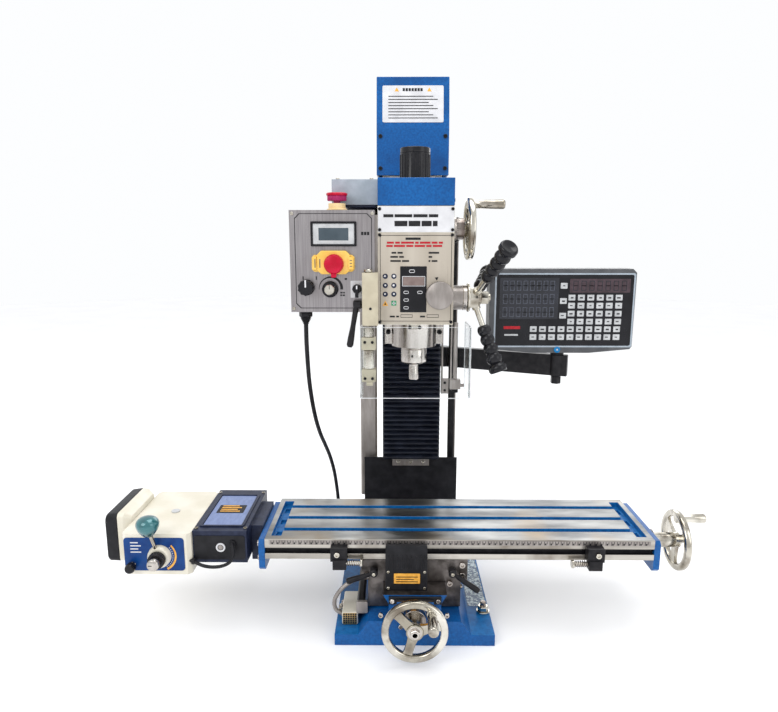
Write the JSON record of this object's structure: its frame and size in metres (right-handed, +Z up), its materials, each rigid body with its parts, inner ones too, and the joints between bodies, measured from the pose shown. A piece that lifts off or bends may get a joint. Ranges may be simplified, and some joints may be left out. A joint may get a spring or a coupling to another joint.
{
  "type": "benchtop milling machine",
  "caption": "Benchtop vertical milling machine with T-slot table on cross slides, power table feed, sliding head with quill and spindle guard, control box and digital readout.",
  "frame": {"origin": "centre of the base casting's underside, on the bench", "axes": "+Z up, +X to the operator's right along the table, the operator stands at -Y"},
  "size_m": [1.1308, 0.6479, 1.033],
  "materials": {
    "blue_paint": "gloss blue hammered enamel",
    "navy_paint": "dark blue paint",
    "cream_paint": "cream paint",
    "grey_paint": "grey paint",
    "ground_steel": "ground and oiled",
    "brushed_panel": "brushed sheet",
    "bright_steel": "polished",
    "bronze": "machined",
    "black_plastic": "moulded",
    "black_steel": "black oxide",
    "black_rubber": "matt",
    "yellow_plastic": "moulded",
    "red_plastic": "moulded",
    "teal_plastic": "moulded",
    "clear_plastic": "clear polycarbonate sheet"
  },
  "bodies": {
    "root": {"base_casting": "blue_paint", "vented_box": "cream_paint", "column": "cream_paint", "z_leadscrew": "ground_steel", "column_cover": "blue_paint", "cable_trunking": "grey_paint", "way_flap": "black_rubber", "bellows": "black_rubber", "cord_tube": "black_rubber", "cord_coil": "black_rubber", "mains_plug": "black_rubber"},
    "saddle": {"saddle": "ground_steel", "screw_nut_block": "bronze", "limit_switch_box": "black_plastic"},
    "x_lock_left": {"x_lock_left": "black_steel"},
    "x_lock_right": {"x_lock_right": "black_steel"},
    "table": {"table": "ground_steel", "table_bracket_left": "blue_paint", "table_bracket_right": "blue_paint", "feed_housing": "cream_paint", "feed_end_cap": "black_plastic", "feed_adapter": "navy_paint"},
    "stop_left": {"stop_left": "black_steel"},
    "stop_right": {"stop_right": "black_steel"},
    "plunger_left": {"plunger_left": "bright_steel"},
    "plunger_right": {"plunger_right": "bright_steel"},
    "feed_lever": {"feed_lever": "teal_plastic"},
    "feed_speed_dial": {"feed_speed_dial": "black_plastic"},
    "feed_rapid_knob": {"feed_rapid_knob": "black_plastic"},
    "x_screw": {"x_leadscrew": "ground_steel", "x_handwheel": "bright_steel"},
    "x_wheel_grip": {"x_wheel_grip": "bright_steel"},
    "y_screw": {"y_leadscrew": "ground_steel", "y_handwheel": "bright_steel"},
    "y_wheel_grip": {"y_wheel_grip": "bright_steel"},
    "head": {"head_casting": "cream_paint", "head_top_cover": "blue_paint", "belt_cover": "grey_paint", "motor": "black_steel", "control_box": "brushed_panel", "cord_gland": "black_plastic"},
    "z_handwheel": {"z_handwheel": "bright_steel"},
    "z_wheel_grip": {"z_wheel_grip": "bright_steel"},
    "z_nut": {"z_nut": "bronze"},
    "capstan": {"capstan": "black_steel"},
    "quill": {"quill": "ground_steel"},
    "spindle": {"spindle": "bright_steel"},
    "spindle_pulley": {"spindle_pulley": "black_steel"},
    "motor_pulley": {"motor_pulley": "black_steel"},
    "fine_feed_knob": {"fine_feed_knob": "bright_steel"},
    "head_lock_lever": {"head_lock_lever": "black_steel"},
    "z_lock_lever": {"z_lock_lever": "black_steel"},
    "guard": {"guard": "clear_plastic"},
    "estop_button": {"estop_button": "red_plastic"},
    "switch_flap": {"switch_flap": "yellow_plastic"},
    "selector_knob": {"selector_knob": "black_plastic"},
    "speed_knob": {"speed_knob": "black_plastic"},
    "coolant_switch_knob": {"coolant_switch_knob": "black_plastic"},
    "readout_arm": {"readout_arm": "black_steel"},
    "readout": {"readout": "grey_paint"}
  },
  "joints": [
    {"name": "y_handwheel_turn", "type": "hinge", "parent": "root", "child": "y_screw", "pos_m": [-0.002, -0.25, 0.067], "axis": [0, 1, 0], "range_deg": [-5132, 10622]},
    {"name": "saddle_slide", "type": "slide", "parent": "root", "child": "saddle", "axis": [0, 1, 0], "range_m": [-0.057, 0.118]},
    {"name": "y_grip_spin", "type": "hinge", "parent": "y_screw", "child": "y_wheel_grip", "pos_m": [0.02567, -0.32, 0.10121], "axis": [0, 1, 0], "continuous": true},
    {"name": "x_handwheel_turn", "type": "hinge", "parent": "table", "child": "x_screw", "pos_m": [0.4, -0.106, 0.137], "axis": [1, 0, 0], "range_deg": [-22952, 2882]},
    {"name": "table_slide", "type": "slide", "parent": "saddle", "child": "table", "axis": [1, 0, 0], "range_m": [-0.255, 0.032]},
    {"name": "x_grip_spin", "type": "hinge", "parent": "x_screw", "child": "x_wheel_grip", "pos_m": [0.53, -0.106, 0.181], "axis": [1, 0, 0], "continuous": true},
    {"name": "x_lock_left_turn", "type": "hinge", "parent": "saddle", "child": "x_lock_left", "pos_m": [-0.073, -0.2, 0.121], "axis": [0, -1, 0], "range_deg": [0, 55]},
    {"name": "x_lock_right_turn", "type": "hinge", "parent": "saddle", "child": "x_lock_right", "pos_m": [0.068, -0.2, 0.121], "axis": [0, 1, 0], "range_deg": [0, 45]},
    {"name": "stop_left_slide", "type": "slide", "parent": "table", "child": "stop_left", "axis": [-1, 0, 0], "range_m": [0, 0.09]},
    {"name": "stop_right_slide", "type": "slide", "parent": "table", "child": "stop_right", "axis": [1, 0, 0], "range_m": [0, 0.07]},
    {"name": "plunger_left_press", "type": "slide", "parent": "stop_left", "child": "plunger_left", "axis": [-1, 0, 0], "range_m": [0, 0.008], "stiffness_N_per_m": 400},
    {"name": "plunger_right_press", "type": "slide", "parent": "stop_right", "child": "plunger_right", "axis": [1, 0, 0], "range_m": [0, 0.008], "stiffness_N_per_m": 400},
    {"name": "feed_lever_swing", "type": "hinge", "parent": "table", "child": "feed_lever", "pos_m": [-0.456, -0.21, 0.152], "axis": [0, 1, 0], "range_deg": [-25, 25]},
    {"name": "feed_speed_turn", "type": "hinge", "parent": "table", "child": "feed_speed_dial", "pos_m": [-0.456, -0.205, 0.152], "axis": [0, 1, 0], "range_deg": [-135, 135]},
    {"name": "feed_rapid_press", "type": "slide", "parent": "table", "child": "feed_rapid_knob", "axis": [0, 1, 0], "range_m": [0, 0.005], "stiffness_N_per_m": 400},
    {"name": "z_handwheel_turn", "type": "hinge", "parent": "head", "child": "z_handwheel", "pos_m": [0.072, -0.06, 0.728], "axis": [1, 0, 0], "range_deg": [-21602, 6302]},
    {"name": "head_slide", "type": "slide", "parent": "root", "child": "head", "axis": [0, 0, 1], "range_m": [-0.24, 0.07], "deforming": ["bellows", "cord_tube"]},
    {"name": "z_grip_spin", "type": "hinge", "parent": "z_handwheel", "child": "z_wheel_grip", "pos_m": [0.12, -0.06, 0.772], "axis": [1, 0, 0], "continuous": true},
    {"name": "z_nut_turn", "type": "hinge", "parent": "head", "child": "z_nut", "pos_m": [0, 0.13, 0.71], "axis": [0, 0, 1], "range_deg": [-21602, 6302]},
    {"name": "capstan_turn", "type": "hinge", "parent": "head", "child": "capstan", "pos_m": [0.1, -0.1, 0.605], "axis": [1, 0, 0], "range_deg": [0, 445]},
    {"name": "quill_slide", "type": "slide", "parent": "head", "child": "quill", "axis": [0, 0, -1], "range_m": [0, 0.0701]},
    {"name": "spindle_spin", "type": "hinge", "parent": "quill", "child": "spindle", "pos_m": [0, -0.065, 0.6], "axis": [0, 0, 1], "continuous": true},
    {"name": "spindle_pulley_spin", "type": "hinge", "parent": "head", "child": "spindle_pulley", "pos_m": [0, -0.065, 0.788], "axis": [0, 0, 1], "continuous": true},
    {"name": "motor_pulley_spin", "type": "hinge", "parent": "head", "child": "motor_pulley", "pos_m": [-0.098, -0.02, 0.788], "axis": [0, 0, 1], "continuous": true},
    {"name": "fine_feed_turn", "type": "hinge", "parent": "head", "child": "fine_feed_knob", "pos_m": [0.041, -0.16, 0.614], "axis": [0, 1, 0], "range_deg": [-360, 360]},
    {"name": "head_lock_turn", "type": "hinge", "parent": "head", "child": "head_lock_lever", "pos_m": [-0.1, -0.16, 0.596], "axis": [1, 0, 0], "range_deg": [-45, 0]},
    {"name": "z_lock_turn", "type": "hinge", "parent": "head", "child": "z_lock_lever", "pos_m": [0.076, 0.096, 0.702], "axis": [1, 0, 0], "range_deg": [-30, 30]},
    {"name": "guard_swing", "type": "hinge", "parent": "head", "child": "guard", "pos_m": [-0.082, -0.161, 0.55], "axis": [0, 0, -1], "range_deg": [0, 75]},
    {"name": "estop_press", "type": "slide", "parent": "head", "child": "estop_button", "axis": [0, 0, -1], "range_m": [0, 0.004], "stiffness_N_per_m": 900},
    {"name": "switch_flap_lift", "type": "hinge", "parent": "head", "child": "switch_flap", "pos_m": [-0.179, -0.1504, 0.672], "axis": [0, 0, -1], "range_deg": [0, 80]},
    {"name": "selector_turn", "type": "hinge", "parent": "head", "child": "selector_knob", "pos_m": [-0.189, -0.15, 0.627], "axis": [0, 1, 0], "range_deg": [-60, 60]},
    {"name": "speed_turn", "type": "hinge", "parent": "head", "child": "speed_knob", "pos_m": [-0.148, -0.15, 0.624], "axis": [0, 1, 0], "range_deg": [-135, 135]},
    {"name": "coolant_switch_turn", "type": "hinge", "parent": "head", "child": "coolant_switch_knob", "pos_m": [-0.1015, -0.15, 0.625], "axis": [0, 1, 0], "range_deg": [0, 90]},
    {"name": "readout_arm_swing", "type": "hinge", "parent": "root", "child": "readout_arm", "pos_m": [0.076, 0.165, 0.45], "axis": [0, 0, 1], "range_deg": [0, 50]},
    {"name": "readout_swivel", "type": "hinge", "parent": "readout_arm", "child": "readout", "pos_m": [0.306, 0.066, 0.45], "axis": [0, 0, 1], "range_deg": [-30, 0]}
  ],
  "couplings": [
    {"joint": "y_handwheel_turn", "follows": "saddle_slide", "rad_per_m": 1570.8},
    {"joint": "x_handwheel_turn", "follows": "table_slide", "rad_per_m": 1570.8},
    {"joint": "z_handwheel_turn", "follows": "head_slide", "rad_per_m": 1570.8},
    {"joint": "z_nut_turn", "follows": "head_slide", "rad_per_m": 1570.8},
    {"joint": "quill_slide", "follows": "capstan_turn", "m_per_rad": 0.0090128},
    {"joint": "spindle_pulley_spin", "follows": "spindle_spin", "ratio": 1},
    {"joint": "motor_pulley_spin", "follows": "spindle_spin", "ratio": 1.6667}
  ]
}
